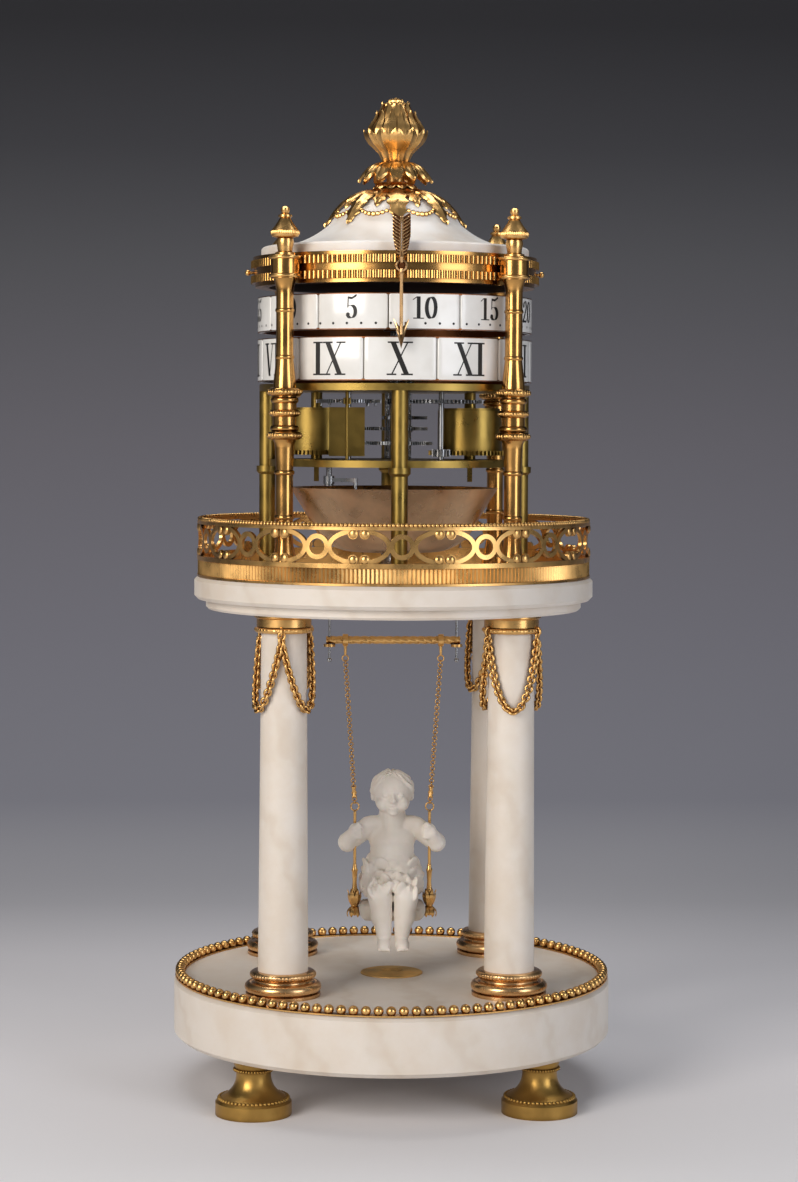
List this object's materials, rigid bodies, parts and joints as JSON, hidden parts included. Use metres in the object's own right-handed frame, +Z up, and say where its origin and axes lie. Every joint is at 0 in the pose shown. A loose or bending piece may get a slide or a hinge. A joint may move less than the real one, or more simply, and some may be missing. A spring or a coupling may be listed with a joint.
{
  "type": "portico swing clock",
  "caption": "Round marble portico clock with gilt mounts, an open movement under revolving enamel ring dials read by a fixed arrow, and a seated bisque child on a swing as the pendulum.",
  "frame": {"origin": "middle of the footprint, on the surface that the clock stands on", "axes": "+Z up along the clock's axis, -Y towards the front with the arrow, +X to the viewer's right"},
  "size_m": [0.1954, 0.1954, 0.4403],
  "materials": {
    "marble": "polished cream marble with tan veins",
    "ormolu": "gilt brass, bright",
    "antique_brass": "darkened gilt brass",
    "movement_brass": "bare movement brass",
    "steel": "bright steel",
    "bell_bronze": "bell bronze, smooth",
    "bronze": "dark copper bronze",
    "enamel": "white enamel with dark numerals",
    "bisque": "matt unglazed porcelain",
    "board": "dark stained board"
  },
  "bodies": {
    "clock": {"plinth": "marble", "column_shafts": "marble", "platform": "marble", "dome": "marble", "base_bead_ring": "ormolu", "base_medallion": "ormolu", "column_bases": "ormolu", "column_capitals": "ormolu", "chain_garlands": "ormolu", "gallery_band": "ormolu", "gallery_pierced": "ormolu", "gallery_rim": "ormolu", "upper_columns": "ormolu", "column_finials": "ormolu", "cornice": "ormolu", "cornice_pins": "ormolu", "dome_cap": "ormolu", "leaf_collar": "ormolu", "finial": "ormolu", "swing_bar": "ormolu", "rating_nuts": "ormolu", "feet": "antique_brass", "movement_posts": "movement_brass", "lower_plate": "movement_brass", "upper_plate": "movement_brass", "bell_nut": "movement_brass", "column_tie_rods": "steel", "plate_screws": "steel", "motion_stud": "steel", "bell_stand": "steel", "hammer_stud": "steel", "suspension_rods": "steel", "bell": "bell_bronze", "arrow_pointer": "bronze", "arrow_rivet": "bronze", "cornice_board": "board"},
    "minute_ring": {"minute_ring_frame": "ormolu", "minute_plaques": "enamel", "centre_arbor": "steel"},
    "hour_ring": {"hour_ring_frame": "ormolu", "hour_plaques": "enamel"},
    "minute_wheel": {"minute_wheel": "movement_brass"},
    "intermediate": {"intermediate_arbor": "steel"},
    "going_barrel": {"going_barrel": "movement_brass"},
    "third": {"third_arbor": "steel"},
    "escape": {"escape_arbor": "steel"},
    "strike_barrel": {"strike_barrel": "movement_brass"},
    "pin_wheel": {"pin_wheel_arbor": "steel"},
    "fly": {"fly_arbor": "steel"},
    "anchor": {"anchor": "steel"},
    "hammer": {"hammer": "steel"},
    "swing": {"swing_hooks": "ormolu", "swing_chains": "ormolu", "swing_rings": "ormolu", "swing_hangers": "ormolu", "swing_mounts": "ormolu", "swing_seat": "bisque", "swing_figure": "bisque"}
  },
  "joints": [
    {"name": "minute_ring_spin", "type": "hinge", "parent": "clock", "child": "minute_ring", "pos_m": [0, 0, 0.3358], "axis": [0, 0, 1], "continuous": true},
    {"name": "hour_ring_spin", "type": "hinge", "parent": "clock", "child": "hour_ring", "pos_m": [0, 0, 0.3142], "axis": [0, 0, 1], "continuous": true},
    {"name": "minute_wheel_spin", "type": "hinge", "parent": "clock", "child": "minute_wheel", "pos_m": [0.00688, 0.00983, 0.3148], "axis": [0, 0, 1], "continuous": true},
    {"name": "intermediate_spin", "type": "hinge", "parent": "clock", "child": "intermediate", "pos_m": [0.02059, -0.00653, 0.28], "axis": [0, 0, 1], "continuous": true},
    {"name": "going_barrel_spin", "type": "hinge", "parent": "clock", "child": "going_barrel", "pos_m": [0.0345, 0.01, 0.28], "axis": [0, 0, 1], "continuous": true},
    {"name": "third_spin", "type": "hinge", "parent": "clock", "child": "third", "pos_m": [0, 0.0182, 0.28], "axis": [0, 0, 1], "continuous": true},
    {"name": "escape_spin", "type": "hinge", "parent": "clock", "child": "escape", "pos_m": [0.0084, 0.03275, 0.28], "axis": [0, 0, 1], "continuous": true},
    {"name": "strike_barrel_spin", "type": "hinge", "parent": "clock", "child": "strike_barrel", "pos_m": [-0.0345, 0.01, 0.28], "axis": [0, 0, 1], "continuous": true},
    {"name": "pin_wheel_spin", "type": "hinge", "parent": "clock", "child": "pin_wheel", "pos_m": [-0.02059, -0.00653, 0.28], "axis": [0, 0, 1], "continuous": true},
    {"name": "fly_spin", "type": "hinge", "parent": "clock", "child": "fly", "pos_m": [-0.02167, -0.02189, 0.28], "axis": [0, 0, 1], "continuous": true},
    {"name": "swing_hinge", "type": "hinge", "parent": "clock", "child": "swing", "pos_m": [0, 0, 0.1992], "axis": [1, 0, 0], "range_deg": [-6, 6]},
    {"name": "anchor_rock", "type": "hinge", "parent": "clock", "child": "anchor", "pos_m": [-0.00165, 0.03855, 0.28], "axis": [0, 0, 1], "range_deg": [-3.7, 3.7]},
    {"name": "hammer_pivot", "type": "hinge", "parent": "clock", "child": "hammer", "pos_m": [-0.0295, -0.025, 0.2695], "axis": [0, 0, 1], "range_deg": [0, 18], "stiffness_Nm_per_rad": 0.0003}
  ],
  "couplings": [
    {"joint": "hour_ring_spin", "follows": "minute_ring_spin", "ratio": 0.083333},
    {"joint": "minute_wheel_spin", "follows": "minute_ring_spin", "ratio": -0.33333},
    {"joint": "intermediate_spin", "follows": "minute_ring_spin", "ratio": -0.2},
    {"joint": "going_barrel_spin", "follows": "minute_ring_spin", "ratio": 0.04},
    {"joint": "third_spin", "follows": "minute_ring_spin", "ratio": -12},
    {"joint": "escape_spin", "follows": "minute_ring_spin", "ratio": 132},
    {"joint": "pin_wheel_spin", "follows": "strike_barrel_spin", "ratio": -5},
    {"joint": "fly_spin", "follows": "strike_barrel_spin", "ratio": 50},
    {"joint": "anchor_rock", "follows": "swing_hinge", "ratio": 0.6}
  ]
}
